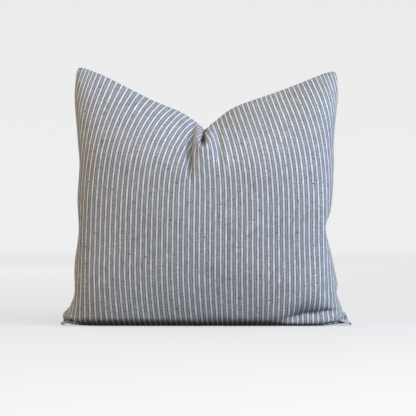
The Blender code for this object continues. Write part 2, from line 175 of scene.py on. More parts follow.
def fullest(x, z):
    """How far the filling can push the cloth out at a place: a crowned form that is fuller along the foot."""
    power = 2.4 + 2.8 * np.clip(1 - z / 0.13, 0, 1) ** 1.5
    across = np.sqrt(1 - np.minimum(np.abs(x) / 0.236, 1) ** power)
    above = np.sqrt(np.clip(1 - ((z - BELLY_HEIGHT) / 0.30) ** 2, 0.02, 1))
    below = np.sqrt(np.clip(1 - ((BELLY_HEIGHT - z) / 0.197) ** 2, 0.02, 1))
    curl = np.sqrt(1 - (np.clip(14 * MM - z, 0, 14 * MM) / (19 * MM)) ** 2)
    return BELLY_DEPTH * across * curl * np.where(z > BELLY_HEIGHT, above, below) + 2 * MM


def first_form(count, seams):
    """The two panels before they settle, and the length of each lengthwise thread."""
    left, right, top, bottom = seams
    panels = np.zeros((2, count, count, 3))
    lengths = np.zeros(count)
    share = np.linspace(0, 1, count)
    lowest = -math.acos(0.66)
    for column in range(count):
        s = 2 * column / (count - 1) - 1
        depth = 0.083 * max(0, 1 - abs(s) ** 2.3) ** 0.5
        foot = 0.056 * max(0, 1 - abs(s) ** 5) ** 0.5
        rise = top[column, 2]
        path = [(0, bottom[column, 2]), (min(0.0128, 0.45 * foot), bottom[column, 2])]
        path += [(min(0.0207, 0.7 * foot), 1 * MM), (foot, 1 * MM)]
        for step in range(1, 25):
            angle = lowest + (math.pi / 2 - lowest) * step / 24
            reach = rise - BELLY_HEIGHT if angle > 0 else BELLY_HEIGHT / math.sqrt(1 - 0.66**2)
            belly = (step / 24) ** 0.7
            full = depth * belly + foot / 0.66 * (1 - belly)
            path.append((full * math.cos(angle), BELLY_HEIGHT + reach * math.sin(angle)))
        line = np.array([(0, y, z) for y, z in path])
        lengths[column] = np.linalg.norm(np.diff(line, axis=0), axis=1).sum()
        line = evenly(line, count)
        between = (1 - share[column]) * left[:, 0] + share[column] * right[:, 0]
        shift = (1 - share) * (bottom[column, 0] - between[0]) + share * (top[column, 0] - between[-1])
        for panel, out in PANELS:
            panels[panel, :, column] = np.stack([between + shift, out * line[:, 1], line[:, 2]], 1)
    for panel, out in PANELS:
        panels[panel, :, 0] = left
        panels[panel, :, -1] = right
        panels[panel, -1] = top
        panels[panel, 0] = bottom
        panels[panel, 0, :, 1] += out * slot_opening(bottom[:, 0])
    return panels, lengths


def finer(grid, axis):
    """Puts a point between each two along an axis, on the smooth curve through its neighbours."""
    grid = np.moveaxis(grid, axis, 0)
    wide = np.concatenate([2 * grid[:1] - grid[1:2], grid, 2 * grid[-1:] - grid[-2:-1]])
    made = np.zeros((2 * len(grid) - 1, *grid.shape[1:]))
    made[::2] = grid
    made[1::2] = (9 * (wide[1:-2] + wide[2:-1]) - wide[:-3] - wide[3:]) / 16
    return np.moveaxis(made, 0, axis)


def doubled(panels):
    """The two panels with a row and a column more between each two."""
    return finer(finer(panels, 1), 2)


def unit(vectors):
    """Vectors made one long."""
    return vectors / np.maximum(np.linalg.norm(vectors, axis=-1, keepdims=True), 1e-12)


def along_normal(grid, side):
    """The outward direction over one panel's grid; side is -1 for the front and 1 for the back."""
    return -side * unit(np.cross(np.gradient(grid, axis=1), np.gradient(grid, axis=0)))


def pull(first, second, rest, stretch, squeeze):
    """Moves two sets of points towards the distance they have in the flat cloth."""
    gap = second - first
    length = np.sqrt((gap * gap).sum(-1))
    share = (length - rest) / np.maximum(length, 1e-9)
    share *= np.where(share > 0, stretch, squeeze) * 0.5
    gap *= share[..., None]
    first += gap
    second -= gap


def bend(grid, axis, rest):
    """Moves apart points two threads from each other, as the cloth resists a sharp fold."""
    grid = np.moveaxis(grid, axis, 0)
    gap = grid[2:] - grid[:-2]
    length = np.sqrt((gap * gap).sum(-1))
    gap *= (np.minimum(length - rest, 0) / np.maximum(length, 1e-9) * 0.075)[..., None]
    grid[:-2] += gap
    grid[2:] -= gap


def keep_off(panels, left, right, lobes, middle):
    """Keeps the panels off each other and the floor, inside the filling's form and the outline.

    left and right are the side seams, lobes the rows that the chop parts, and middle its column.
    """
    over = np.maximum((panels[0, ..., 1] - panels[1, ..., 1] + 1.2 * MM) / 2, 0)
    over[0] = 0
    panels[0, ..., 1] -= over
    panels[1, ..., 1] += over
    panels[..., 2] = np.maximum(panels[..., 2], FLOOR_GAP)
    most = fullest(panels[..., 0], panels[..., 2])
    # A crease along the foot on the right, in the front only.
    x, z = panels[0, ..., 0], panels[0, ..., 2]
    crease = np.interp(x, [0.105, 0.122, 0.145, 0.175, 0.21], [0.006, 0.013, 0.019, 0.022, 0.024])
    depth = 15 * MM * np.clip((x - 0.108) / 0.03, 0, 1) * np.exp(-(((z - crease) / (3.5 * MM)) ** 2))
    most[0] = np.maximum(most[0] - depth, 2 * MM)
    panels[..., 1] = np.clip(panels[..., 1], -most, most)
    low = np.interp(panels[..., 2], left[:, 2], left[:, 0])
    high = np.interp(panels[..., 2], right[:, 2], right[:, 0])
    free = 12 * MM * np.clip(1 - panels[..., 2] / (24 * MM), 0, 1) + 0.6 * MM
    panels[..., 0] = np.clip(panels[..., 0], low - free, high + free)
    # The chop's two lobes stay on their own sides of its crease, which leans left as it goes down.
    crease = np.interp(panels[:, lobes, :, 2], [0.27, 0.284, 0.300, 0.330], [-0.009, -0.007, -0.0015, 0])
    x = panels[:, lobes, :, 0]
    x[..., :middle] = np.minimum(x[..., :middle], crease[..., :middle] - 0.4 * MM)
    x[..., middle + 1 :] = np.maximum(x[..., middle + 1 :], crease[..., middle + 1 :] + 0.4 * MM)
    panels[:, lobes, :, 0] = x


def hold_seams(panels, seams, zip_columns, zip_rows):
    """Holds the sewn edges near their lines, both panels together, and the cloth by the zip flat."""
    left, right, top, bottom = seams
    count = panels.shape[1]
    sides = ((np.s_[:, 1:, 0], left[1:]), (np.s_[:, 1:, -1], right[1:]), (np.s_[:, -1], top))
    for edge, line in sides:
        off = panels[edge].mean(0) - line
        away = np.linalg.norm(off * (1, 0.45, 1), axis=-1, keepdims=True)
        panels[edge] = line + off * np.minimum(1, SEAM_FREEDOM / np.maximum(away, 1e-9))
    for panel, out in PANELS:
        panels[panel, 0] = bottom
        panels[panel, 0, :, 1] += out * slot_opening(bottom[:, 0])
        for row in range(1, zip_rows + 1):
            panels[panel, row, zip_columns, 0] = bottom[zip_columns, 0]
            reach = slot_opening(bottom[zip_columns, 0]) + row * 0.97 * COVER_SIZE / (count - 1)
            panels[panel, row, zip_columns, 1] = bottom[zip_columns, 1] + out * reach
            panels[panel, row, zip_columns, 2] = SEAM_HEIGHT * MM
    panels[:, 0, 0], panels[:, 0, -1] = left[0], right[0]
    panels[:, -1, 0], panels[:, -1, -1] = top[0], top[-1]


def settle(panels, steps, pressure, lengths):
    """Lets the two panels settle under the push of the filling."""
    count = panels.shape[1]
    seams = seam_lines(count)
    columns = np.linspace(0, 1, count)
    across = GATHERED_SIZE / (count - 1)
    slack = np.interp(columns, [0.15, 0.3, 0.6, 0.8, 0.89, 1], [0.94, 0.965, 0.96, 0.955, 1.02, 1.03])
    along = np.interp(columns, np.linspace(0, 1, len(lengths)), lengths) * slack
    inside = np.clip(np.minimum(columns, 1 - columns) / 0.06, 0, 1)
    along = (SIDE_EASE * (1 - inside) + np.minimum(along, GATHERED_SIZE) * inside) / (count - 1)
    # The chop pushes spare cloth down in front of its crease.
    tuck = 0.35 * np.exp(-(((columns - 0.505) / 0.055) ** 2))
    along = along * (1 + tuck * np.clip((columns[:, None] - 0.80) / 0.12, 0, 1))
    slanted = np.hypot(across, along[:-1, :-1])
    zip_columns = np.abs(seams[3][:, 0]) < SLOT_HALF_LENGTH + 15 * MM
    zip_rows = max(1, round(10.5 * MM / (COVER_SIZE / (count - 1))))
    jitter = np.random.default_rng(count)
    old = panels.copy()
    for step in range(steps):
        move = np.clip(0.9 * (panels - old), -1.5 * MM, 1.5 * MM)
        old = panels.copy()
        push = np.stack([along_normal(panels[panel], out) for panel, out in PANELS])
        panels = panels + move + push * pressure
        panels[..., 2] -= 0.01 * MM
        if step < 4:
            panels[..., 1] += jitter.normal(0, 0.6 * MM, panels.shape[:3])
        for _ in range(2):
            for start in (0, 1):
                here, there = slice(start, count - 1, 2), slice(start + 1, count, 2)
                pull(panels[:, :, here], panels[:, :, there], across, 1, 0.35)
                pull(panels[:, here], panels[:, there], along[here], 1, 0.35)
            for start in (0, 1):
                here, there = slice(start, count - 1, 2), slice(start + 1, count, 2)
                pull(panels[:, here, :-1], panels[:, there, 1:], slanted[here], 0.12, 0.12)
                pull(panels[:, here, 1:], panels[:, there, :-1], slanted[here], 0.12, 0.12)
            bend(panels, 2, 1.94 * across)
            bend(panels, 1, 1.94 * along[1:-1, None])
            resting = panels[..., 2] < FLOOR_GAP
            keep_off(panels, seams[0], seams[1], columns > 0.84, (count - 1) // 2)
            hold_seams(panels, seams, zip_columns, zip_rows)
        slid = old + 0.3 * (panels - old)
        panels[..., :2] = np.where(resting[..., None], slid[..., :2], panels[..., :2])
    return panels


def settled_cover():
    """The front and the back of the cover, as grids of points from the bottom up and from left to right."""
    panels, lengths = first_form(FIRST_POINTS, seam_lines(FIRST_POINTS))
    panels = settle(panels, 250, 0.04 * MM, lengths)
    for steps, pressure in ((200, 0.03 * MM), (200, 0.02 * MM)):
        panels = settle(doubled(panels), steps, pressure, lengths)
    round_corners(panels)
    for panel in panels:
        smooth = eased(panel, 80)
        run = np.linspace(0, 1, len(panel))
        for across in (run, 1 - run):
            corner = np.clip(1.3 - np.hypot(across[None], run[:, None]) / 0.13, 0, 1)[..., None]
            panel += (smooth - panel) * corner
    return panels


def round_corners(panels):
    """Rounds the four sewn corners, which a turned seam never leaves sharp."""
    count = panels.shape[1]
    rows, columns = rim_loop(count)
    rim = panels[:, rows, columns]
    loop = np.arange(len(rows))
    near = np.zeros(len(rows))
    for corner, width in ((0, 5), (count - 1, 5), (2 * (count - 1), 4), (3 * (count - 1), 4)):
        steps = np.abs((loop - corner + len(rows) // 2) % len(rows) - len(rows) // 2)
        near = np.maximum(near, np.clip((width - steps) / 3, 0, 1))
    for _ in range(3):
        between = (np.roll(rim, 1, 1) + np.roll(rim, -1, 1)) / 2
        rim += 0.6 * near[:, None] * (between - rim)
    panels[:, rows, columns] = rim
    for panel in panels:
        around = eased(panel, 10)
        run = np.minimum(np.arange(count), np.arange(count)[::-1])
        corner = np.clip((9 - np.maximum(run[:, None], run[None])) / 5, 0, 1)[..., None]
        panel += (around - panel) * corner


# ---------------------------------------------------------------- meshes


def eased(grid, times):
    """A grid with its small wrinkles eased out; its edge stays."""
    grid = grid.copy()
    for _ in range(times):
        around = grid[:-2, 1:-1] + grid[2:, 1:-1] + grid[1:-1, :-2] + grid[1:-1, 2:]
        grid[1:-1, 1:-1] = 0.5 * grid[1:-1, 1:-1] + 0.125 * around
    return grid


def grid_faces(rows, columns, first=0, flip=False):
    """The four corners of each face of a grid of points."""
    index = first + np.arange(rows * columns).reshape(rows, columns)
    corners = [index[:-1, :-1], index[:-1, 1:], index[1:, 1:], index[1:, :-1]]
    faces = np.stack(corners, -1).reshape(-1, 4)
    return faces[:, ::-1] if flip else faces


def make_piece(name, points, faces, slot, node, maps=None):
    """Makes a smooth mesh piece that rides on the cover, in its slot's finish and in a frame node's place.

    maps gives each UV map's place for every corner, in face order.
    """
    mesh = bpy.data.meshes.new(name)
    points = np.asarray(points, float).reshape(-1, 3).tolist()
    mesh.from_pydata(points, [], [list(map(int, face)) for face in faces])
    mesh.polygons.foreach_set("use_smooth", [True] * len(mesh.polygons))
    for map_name, places in (maps or {}).items():
        layer = mesh.uv_layers.new(name=map_name)
        layer.data.foreach_set("uv", np.asarray(places, np.float32).reshape(-1))
    mesh.materials.append(FINISHES[slot])
    piece = bpy.data.objects.new(name, mesh)
    bpy.context.collection.objects.link(piece)
    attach(piece, "cover")
    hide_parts(node)
    return piece


def tubes(paths, radius, sides=6):
    """Round threads along many paths of the same number of points, closed at their ends."""
    paths = np.asarray(paths, float)
    tangent = unit(np.gradient(paths, axis=1))
    start = np.where(np.abs(tangent[:, :1, 2:]) < 0.9, (0, 0, 1.0), (0, 1.0, 0))
    turned = [unit(start[:, 0] - (start[:, 0] * tangent[:, 0]).sum(-1, keepdims=True) * tangent[:, 0])]
    for step in range(1, paths.shape[1]):
        here = tangent[:, step]
        turned.append(unit(turned[-1] - (turned[-1] * here).sum(-1, keepdims=True) * here))
    up = np.stack(turned, 1)
    aside = np.cross(tangent, up)
    angle = np.linspace(0, 2 * math.pi, sides, endpoint=False)
    ring = np.cos(angle)[:, None] * up[:, :, None] + np.sin(angle)[:, None] * aside[:, :, None]
    points = (paths[:, :, None] + radius * ring).reshape(-1, 3)
    faces = []
    steps = paths.shape[1]
    for path in range(len(paths)):
        index = path * steps * sides + np.arange(steps * sides).reshape(steps, sides)
        around = np.roll(index, -1, axis=1)
        faces += np.stack([index[:-1], index[1:], around[1:], around[:-1]], -1).reshape(-1, 4).tolist()
        faces += [index[0].tolist(), index[-1][::-1].tolist()]
    return points, faces


# ---------------------------------------------------------------- the cover's panels


def rim_loop(count):
    """Rows and columns of a square grid's edge points, anticlockwise from the bottom left."""
    run = np.arange(count - 1)
    low, high, back = np.zeros(count - 1, int), np.full(count - 1, count - 1), count - 1 - run
    return np.concatenate([low, run, high, back]), np.concatenate([run, high, back, low])


def seam_frame(front, back):
    """Round the edge: the seam, the ways into the pillow and to the front panel, and the room there is."""
    count = len(front)
    rows, columns = rim_loop(count)
    inner = np.clip(rows, 3, count - 4), np.clip(columns, 3, count - 4)
    seam = (front[rows, columns] + back[rows, columns]) / 2
    to_front, to_back = unit(front[inner] - seam), unit(back[inner] - seam)
    inward, forward = to_front + to_back, to_front - to_back + (0, -0.05, 0)
    room = np.linalg.norm(front[inner] - back[inner], axis=-1, keepdims=True)
    room = np.clip(room / (7 * MM), 0.2, 1)
    for ear in (LEFT_EAR, RIGHT_EAR):
        away = np.linalg.norm(seam - np.array(ear) * MM, axis=-1, keepdims=True)
        room = np.minimum(room, np.clip((away - 25 * MM) / (45 * MM), 0.2, 1))
    for _ in range(4):
        room = np.minimum(np.minimum(room, np.roll(room, 1, 0)), np.roll(room, -1, 0))
    for _ in range(6):
        inward = (inward + np.roll(inward, 1, 0) + np.roll(inward, -1, 0)) / 3
        forward = (forward + np.roll(forward, 1, 0) + np.roll(forward, -1, 0)) / 3
    # By the zip the edges stand up and close beyond its ends, clear of the pull.
    by_zip = np.clip((SLOT_HALF_LENGTH + 24 * MM - np.abs(seam[:, 0])) / (8 * MM), 0, 1)
    by_zip = np.where(rows == 0, by_zip, 0)[:, None]
    inward = unit(unit(inward) * (1 - by_zip) + np.array([0, 0, 1]) * by_zip)
    forward = forward * (1 - by_zip) + np.array([0, -1, 0]) * by_zip
    forward = unit(forward - (forward * inward).sum(-1, keepdims=True) * inward)
    room = np.minimum(room, 1 - 0.85 * by_zip)
    return seam, inward, forward, room


def cloth_place(u, v):
    """The place in the flat cloth, in metres.

    The threads lie closer together where the sides are eased in. The cloth is off its grain at the
    foot on the left, and where the left lobe is folded into the chop.
    """
    side_share, rate = 0.06, 0.96
    inner = np.clip(u, side_share, 1 - side_share) - 0.5
    outer = u - 0.5 - inner
    across = inner * rate + outer * (0.5 - (0.5 - side_share) * rate) / side_share
    foot = np.interp(u, [0, 0.05, 0.25, 0.5, 0.72, 1], [0, 0, 17, 14, 0, 0])
    lobe = np.interp(u, [0, 0.1, 0.34, 0.44, 0.5], [0, 0, 24, 27, 0])
    off_grain = foot * np.clip(1 - v / 0.36, 0, 1) ** 1.6 + lobe * np.clip((v - 0.68) / 0.32, 0, 1) ** 2
    # The seams fall midway between two stripes.
    return np.stack([(across + 0.5) * COVER_SIZE + (PITCH / 2 - off_grain) * MM, v * COVER_SIZE], -1)


def make_panel(side, number, out_sign, panels):
    """One panel of the cover: the cloth, its edge turned in at the seams, its allowance and inner face."""
    fine_panels = doubled(panels)
    coarse, fine = panels[number], fine_panels[number]
    count, half = len(fine), len(coarse)
    rows, columns = rim_loop(count)
    seam, inward, forward, room = seam_frame(*fine_panels)
    out = -out_sign * forward

    # Places through the edge in the seam: how far in, and how far towards this panel, in millimetres.
    through = [(0.5, 0.9), (1.6, 0.12), (8.0, 0.12), (8.0, 0.7), (2.6, 0.75)]
    # The same along the zip, pressed open: how far from the seam's middle, and how high.
    pressed = [(4.75, 0), (4.45, 0.55), (13.0, 1.15), (13.0, 0.75), (5.4, 0.62)]
    open_share = np.where(rows == 0, slot_opening(seam[:, 0]) / SLOT_HALF_WIDTH, 0)[:, None]
    rings = []
    for (deep, aside), (reach, rise) in zip(through, pressed):
        sewn = seam + inward * deep * MM * (room if deep > 1 else 1) + out * aside * MM * room**0.5
        flat = np.tile([0, out_sign * reach * MM, (SEAM_HEIGHT + rise) * MM], (len(seam), 1))
        flat[:, 0] = seam[:, 0]
        ring = sewn * (1 - open_share) + flat * open_share
        ring[:, 2] = np.maximum(ring[:, 2], FLOOR_GAP * 0.6)
        rings.append(ring)
    fine = fine.copy()
    fine[rows, columns] = rings[0]

    inner = coarse - along_normal(coarse, out_sign) * CLOTH_THICKNESS
    inner_rows, inner_columns = rim_loop(half)
    inner[inner_rows, inner_columns] = rings[4][::2]
    inner[..., 2] = np.maximum(inner[..., 2], FLOOR_GAP)

    points = np.concatenate([fine.reshape(-1, 3), *rings[1:4], inner.reshape(-1, 3)])
    loop = len(rows)
    starts = [count * count + level * loop for level in range(3)]
    inner_start = count * count + 3 * loop
    u, v = np.meshgrid(np.linspace(0, 1, count), np.linspace(0, 1, count))
    inner_u, inner_v = np.meshgrid(np.linspace(0, 1, half), np.linspace(0, 1, half))
    place = np.concatenate(
        [
            cloth_place(u, v).reshape(-1, 2),
            *[cloth_place(u[rows, columns], v[rows, columns])] * 3,
            cloth_place(inner_u, inner_v).reshape(-1, 2),
        ]
    )
    chart = np.stack([0.01 + 0.98 * u, 0.01 + 0.84 * v], -1).reshape(-1, 2)
    inner_chart = np.stack([0.01 + 0.98 * inner_u, 0.92 + 0.07 * inner_v], -1).reshape(-1, 2)

    faces, cloth_map, bake_map = [], [], []

    def lay(face, bake):
        """Lays faces with their places on the bake chart, turned to look outwards."""
        face, bake = np.asarray(face)[:, ::-out_sign], np.asarray(bake)[:, ::-out_sign]
        faces.extend(face.tolist())
        cloth_map.append(place[face].reshape(-1, 2))
        bake_map.append(bake.reshape(-1, 2))

    outer_faces = grid_faces(count, count)
    lay(outer_faces, chart[outer_faces])
    edge = rows * count + columns
    run = np.arange(loop)
    nxt = (run + 1) % loop
    levels = [edge, *[start + run for start in starts]]
    for level in range(3):
        low, high = levels[level], levels[level + 1]
        face = np.stack([low[nxt], low, high, high[nxt]], 1)
        across = np.stack([(run + 1) / loop, run / loop, run / loop, (run + 1) / loop], 1) * 0.98 + 0.01
        up = 0.86 + 0.012 * np.array([level, level, level + 0.9, level + 0.9])
        lay(face, np.stack([across, np.broadcast_to(up, across.shape)], -1))
    rim = inner_start + inner_rows * half + inner_columns
    pair = np.arange(0, loop, 2)
    low = levels[3]
    face = np.stack([low[(pair + 2) % loop], low[pair + 1], low[pair], rim, np.roll(rim, -1)], 1)
    across = np.stack([pair + 2, pair + 1, pair, pair, pair + 2], 1) / loop * 0.98 + 0.01
    up = np.array([0.898, 0.898, 0.898, 0.91, 0.91])
    lay(face, np.stack([across, np.broadcast_to(up, across.shape)], -1))
    inner_faces = grid_faces(half, half)[:, ::-1]
    lay(inner_faces + inner_start, inner_chart[inner_faces])

    maps = {"Cloth": np.concatenate(cloth_map), "OFBake": np.concatenate(bake_map)}
    name, node = f"cover_{side}_cloth", f"cover_{side}_panel"
    piece = make_piece(name, points, faces, "striped_cotton", node, maps)


# ---------------------------------------------------------------- materials


def linear(code):
    """The linear colour of an sRGB hex value."""
    parts = [int(code[start : start + 2], 16) / 255 for start in (1, 3, 5)]
    return (*[part / 12.92 if part <= 0.04045 else ((part + 0.055) / 1.055) ** 2.4 for part in parts], 1)


def add(tree, kind, links=None, stops=(), **settings):
    """Adds a node with its settings.

    links gives each input a value, or the node or socket that feeds it, and stops a colour ramp's
    places and hex values.
    """
    made = tree.nodes.new("ShaderNode" + kind)
    for name, value in settings.items():
        setattr(made, name, value)
    for socket, value in (links or {}).items():
        if isinstance(value, bpy.types.Node):
            value = value.outputs[0]
        if isinstance(value, bpy.types.NodeSocket):
            tree.links.new(value, made.inputs[socket])
        else:
            made.inputs[socket].default_value = value
    while stops and len(made.color_ramp.elements) < len(stops):
        made.color_ramp.elements.new(0.5)
    for number, (place, code) in enumerate(stops):
        made.color_ramp.elements[number].position = place
        made.color_ramp.elements[number].color = linear(code)
    return made


def new_material(name):
    """An empty material and its node tree."""
    material = bpy.data.materials.new(name)
    material.use_nodes = True
    material.node_tree.nodes.clear()
    return material, material.node_tree


def surface(tree, shading):
    """Gives a material its surface."""
    add(tree, "OutputMaterial", {0: add(tree, "BsdfPrincipled", shading)})


def place_on_piece(tree, scale=(1000, 1000, 1000)):
    """Where a point lies on its piece, in millimetres or at another scale."""
    place = add(tree, "TexCoord").outputs["Object"]
    return add(tree, "VectorMath", {0: place, 1: scale}, operation="MULTIPLY")


def slub_chambray_stripe():
    """Slub cotton, woven plain from a blue-grey field and cream stripe ends, washed and unpressed.

    To the eye: matt, with flecked uneven threads both ways, soft-edged stripes and a few dark slubs.
    """
    material, tree = new_material("slub chambray stripe, woven")
    place = add(tree, "UVMap", uv_map="Cloth")
    place = add(tree, "VectorMath", {0: place, 1: (1000, 1000, 0)}, operation="MULTIPLY")
    # Uneven yarn, along the warp and along the weft. Threads 0.5 mm apart are drawn 1.3 mm apart, to show.
    grains = []
    for stretch, detail, rough in (
        ((0.9, 0.09, 1), 2.0, 0.5),
        ((0.12, 1.1, 1), 3.0, 0.7),
        ((0.75, 0.05, 1), 3.0, 0.65),
        ((0.07, 0.75, 1), 3.0, 0.65),
    ):
        along = add(tree, "VectorMath", {0: place, 1: stretch}, operation="MULTIPLY")
        noise_links = {"Vector": along, "Scale": 1.0, "Detail": detail, "Roughness": rough}
        grains.append(add(tree, "TexNoise", noise_links))
    wander, frayed, warp, weft = grains
    # The stripe ends wander by a third of a millimetre between picks.
    across = add(tree, "SeparateXYZ", {0: place})
    shift = add(tree, "Math", {0: wander, 1: 0.5, 2: across.outputs[0]}, operation="MULTIPLY_ADD")
    shift = add(tree, "Math", {0: frayed, 1: 1.1, 2: shift}, operation="MULTIPLY_ADD")
    from_stripe = add(tree, "Math", {0: shift, 1: PITCH / 2}, operation="PINGPONG")
    share = add(tree, "Math", {0: from_stripe, 1: PITCH / 2}, operation="DIVIDE")
    # A 2.4 mm cream stripe, a darker band each side and a lighter middle to the field.
    stripe = [(0.0, STRIPE), (0.24, STRIPE)]
    field = [(0.37, FIELD_DARK), (0.62, FIELD_DARK), (0.84, FIELD_LIGHT), (1.0, FIELD_LIGHT)]
    yarn = add(tree, "ValToRGB", {0: share}, stops=stripe + field)
    threads = add(tree, "Math", {0: warp, 1: weft}, operation="ADD")
    speck = add(tree, "TexNoise", {"Vector": place, "Scale": 0.5, "Detail": 4.0, "Roughness": 0.8})
    threads = add(tree, "Math", {0: speck, 1: 1.4, 2: threads}, operation="MULTIPLY_ADD")
    tone = add(tree, "MapRange", {0: threads, 1: 1.3, 2: 2.1, 3: 0.42, 4: 1.53})
    cloud = add(tree, "TexNoise", {"Vector": place, "Scale": 0.014, "Detail": 2.0})
    cloud = add(tree, "MapRange", {0: cloud, 1: 0.3, 2: 0.7, 3: 0.95, 4: 1.05})
    tone = add(tree, "Math", {0: tone, 1: cloud}, operation="MULTIPLY")
    woven = add(tree, "VectorMath", {0: yarn, "Scale": tone}, operation="SCALE")
    # Slubs: short thick ends of navy yarn, 1 to 3 mm across, one in about 10 cm2.
    cells = add(tree, "VectorMath", {0: place, 1: (1 / 31, 1 / 23, 1)}, operation="MULTIPLY")
    slubs = add(tree, "TexVoronoi", {"Vector": cells, "Scale": 1.0}, voronoi_dimensions="2D")
    random = add(tree, "SeparateXYZ", {0: slubs.outputs["Color"]})
    size = add(tree, "MapRange", {0: random.outputs[1], 3: 0.02, 4: 0.055})
    ragged = add(tree, "Math", {0: speck, 1: 0.03, 2: slubs.outputs["Distance"]}, operation="MULTIPLY_ADD")
    ragged = add(tree, "Math", {0: ragged, 1: 0.015}, operation="SUBTRACT")
    spot = add(tree, "Math", {0: size, 1: ragged}, operation="SUBTRACT")
    spot = add(tree, "MapRange", {0: spot, 1: 0.0, 2: 0.012, 3: 0.0, 4: 0.92})
    chosen = add(tree, "Math", {0: random.outputs[0], 1: 0.28}, operation="GREATER_THAN")
    spot = add(tree, "Math", {0: spot, 1: chosen}, operation="MULTIPLY")
    colour = add(tree, "Mix", {0: spot, 6: woven, 7: linear(SLUB)}, data_type="RGBA")
    # The plain weave, over and under, drawn at the same 1.3 mm.
    over = add(tree, "VectorMath", {0: place, 1: (2 * math.pi / 1.3,) * 3}, operation="MULTIPLY")
    over = add(tree, "VectorMath", {0: over}, operation="SINE")
    over = add(tree, "SeparateXYZ", {0: over})
    weave = add(tree, "Math", {0: over.outputs[0], 1: over.outputs[1]}, operation="MULTIPLY")
    height = add(tree, "Math", {0: weave, 1: 0.12, 2: threads}, operation="MULTIPLY_ADD")
    shading = {
        "Base Color": colour.outputs[2],
        "Roughness": add(tree, "MapRange", {0: threads, 1: 1.15, 2: 2.05, 3: 0.95, 4: 0.82}),
        "Normal": add(tree, "Bump", {"Height": height, "Strength": 0.45, "Distance": 0.25 * MM}),
        "IOR": 1.45,
        "Specular IOR Level": 0.15,
        "Sheen Weight": 0.06,
        "Sheen Roughness": 0.5,
    }
    surface(tree, shading)
    return material


def plain_cloth(name, light, dark, spacing, sheen=0.1, roughness=0.85, relief=0.2, stretch=(1, 1, 1)):
    """A cloth of one colour: threads spacing millimetres apart, over and under, with uneven tone and painted
    shade in the dips of the weave.
    """
    material, tree = new_material(name)
    place = place_on_piece(tree, tuple(1000 * part / spacing for part in stretch))
    turned = add(tree, "VectorMath", {0: place, 1: (2 * math.pi,) * 3}, operation="MULTIPLY")
    wave = add(tree, "SeparateXYZ", {0: add(tree, "VectorMath", {0: turned}, operation="SINE")})
    weave = add(tree, "Math", {0: wave.outputs[0], 1: wave.outputs[2]}, operation="MULTIPLY")
    speck = add(tree, "TexNoise", {"Vector": place, "Scale": 0.4, "Detail": 4.0, "Roughness": 0.7})
    height = add(tree, "Math", {0: weave, 1: 0.3, 2: speck}, operation="MULTIPLY_ADD")
    # The colour follows the height: random tone from the speckle, and painted shade, darker in the dips of
    # the weave.
    tone = add(tree, "MapRange", {0: height, 1: 0.1, 2: 0.9, 3: 0, 4: 1})
    rough = {0: speck, 1: 0.3, 2: 0.7, 3: roughness + 0.06, 4: roughness - 0.06}
    shading = {
        "Base Color": add(tree, "ValToRGB", {0: tone}, stops=[(0.0, dark), (1.0, light)]),
        "Roughness": add(tree, "MapRange", rough),
        "Normal": add(tree, "Bump", {"Height": height, "Strength": 0.5, "Distance": relief * MM}),
        "IOR": 1.45,
        "Specular IOR Level": 0.3,
        "Sheen Weight": sheen,
        "Sheen Roughness": 0.4,
    }
    surface(tree, shading)
    return material


def nickel_plated_zinc():
    """Die-cast zinc, barrel-tumbled and nickel plated: warm grey with fine rub marks and duller hollows."""
    material, tree = new_material("zinc, nickel plated")
    place = place_on_piece(tree)
    rubbed = add(tree, "VectorMath", {0: place, 1: (0.3, 4, 4)}, operation="MULTIPLY")
    marks = add(tree, "TexNoise", {"Vector": rubbed, "Scale": 1.0, "Detail": 4.0, "Roughness": 0.6})
    patches = add(tree, "TexNoise", {"Vector": place, "Scale": 0.35, "Detail": 3.0})
    shading = {
        "Base Color": add(tree, "ValToRGB", {0: patches}, stops=[(0.3, "#a9a69f"), (0.7, "#c6c2b9")]),
        "Metallic": 1.0,
        "Roughness": add(tree, "MapRange", {0: marks, 1: 0.3, 2: 0.7, 3: 0.2, 4: 0.38}),
        "Normal": add(tree, "Bump", {"Height": marks, "Strength": 0.25, "Distance": 0.02 * MM}),
    }
    surface(tree, shading)
    return material


def nylon_monofilament():
    """Nylon 6 monofilament, drawn, wound and dyed: smooth and slightly glossy, with faint draw lines."""
    material, tree = new_material("nylon monofilament, dyed")
    cloud = add(tree, "TexNoise", {"Vector": place_on_piece(tree), "Scale": 0.8, "Detail": 3.0})
    shading = {
        "Base Color": add(tree, "ValToRGB", {0: cloud}, stops=[(0.3, "#4b5563"), (0.7, "#5f6a79")]),
        "Roughness": add(tree, "MapRange", {0: cloud, 1: 0.3, 2: 0.7, 3: 0.3, 4: 0.42}),
        "Normal": add(tree, "Bump", {"Height": cloud, "Strength": 0.2, "Distance": 0.03 * MM}),
        "IOR": 1.53,
    }
    surface(tree, shading)
    return material


def polyester_wadding():
    """Siliconised hollow polyester fibre, carded and blown: white, matt and fluffy, in soft clumps, with
    painted shade in the hollows between them.
    """
    material, tree = new_material("polyester fibre, blown")
    place = place_on_piece(tree)
    clumps = add(tree, "TexNoise", {"Vector": place, "Scale": 0.06, "Detail": 6.0, "Roughness": 0.7})
    curled = {"Vector": place, "Scale": 0.5, "Detail": 5.0, "Roughness": 0.8, "Distortion": 2.5}
    fibres = add(tree, "TexNoise", curled)
    height = add(tree, "Math", {0: fibres, 1: 0.35, 2: clumps}, operation="MULTIPLY_ADD")
    shading = {
        # The colour follows the bump height: darker where it is lower, a painted shade in the hollows between
        # fibres and clumps.
        "Base Color": add(tree, "ValToRGB", {0: height}, stops=[(0.4, "#dcdbd6"), (0.85, "#f6f5f1")]),
        "Roughness": add(tree, "MapRange", {0: fibres, 1: 0.3, 2: 0.7, 3: 0.98, 4: 0.88}),
        "Normal": add(tree, "Bump", {"Height": height, "Strength": 0.9, "Distance": 2.5 * MM}),
        "Sheen Weight": 0.4,
        "Sheen Roughness": 0.6,
    }
    surface(tree, shading)
    return material


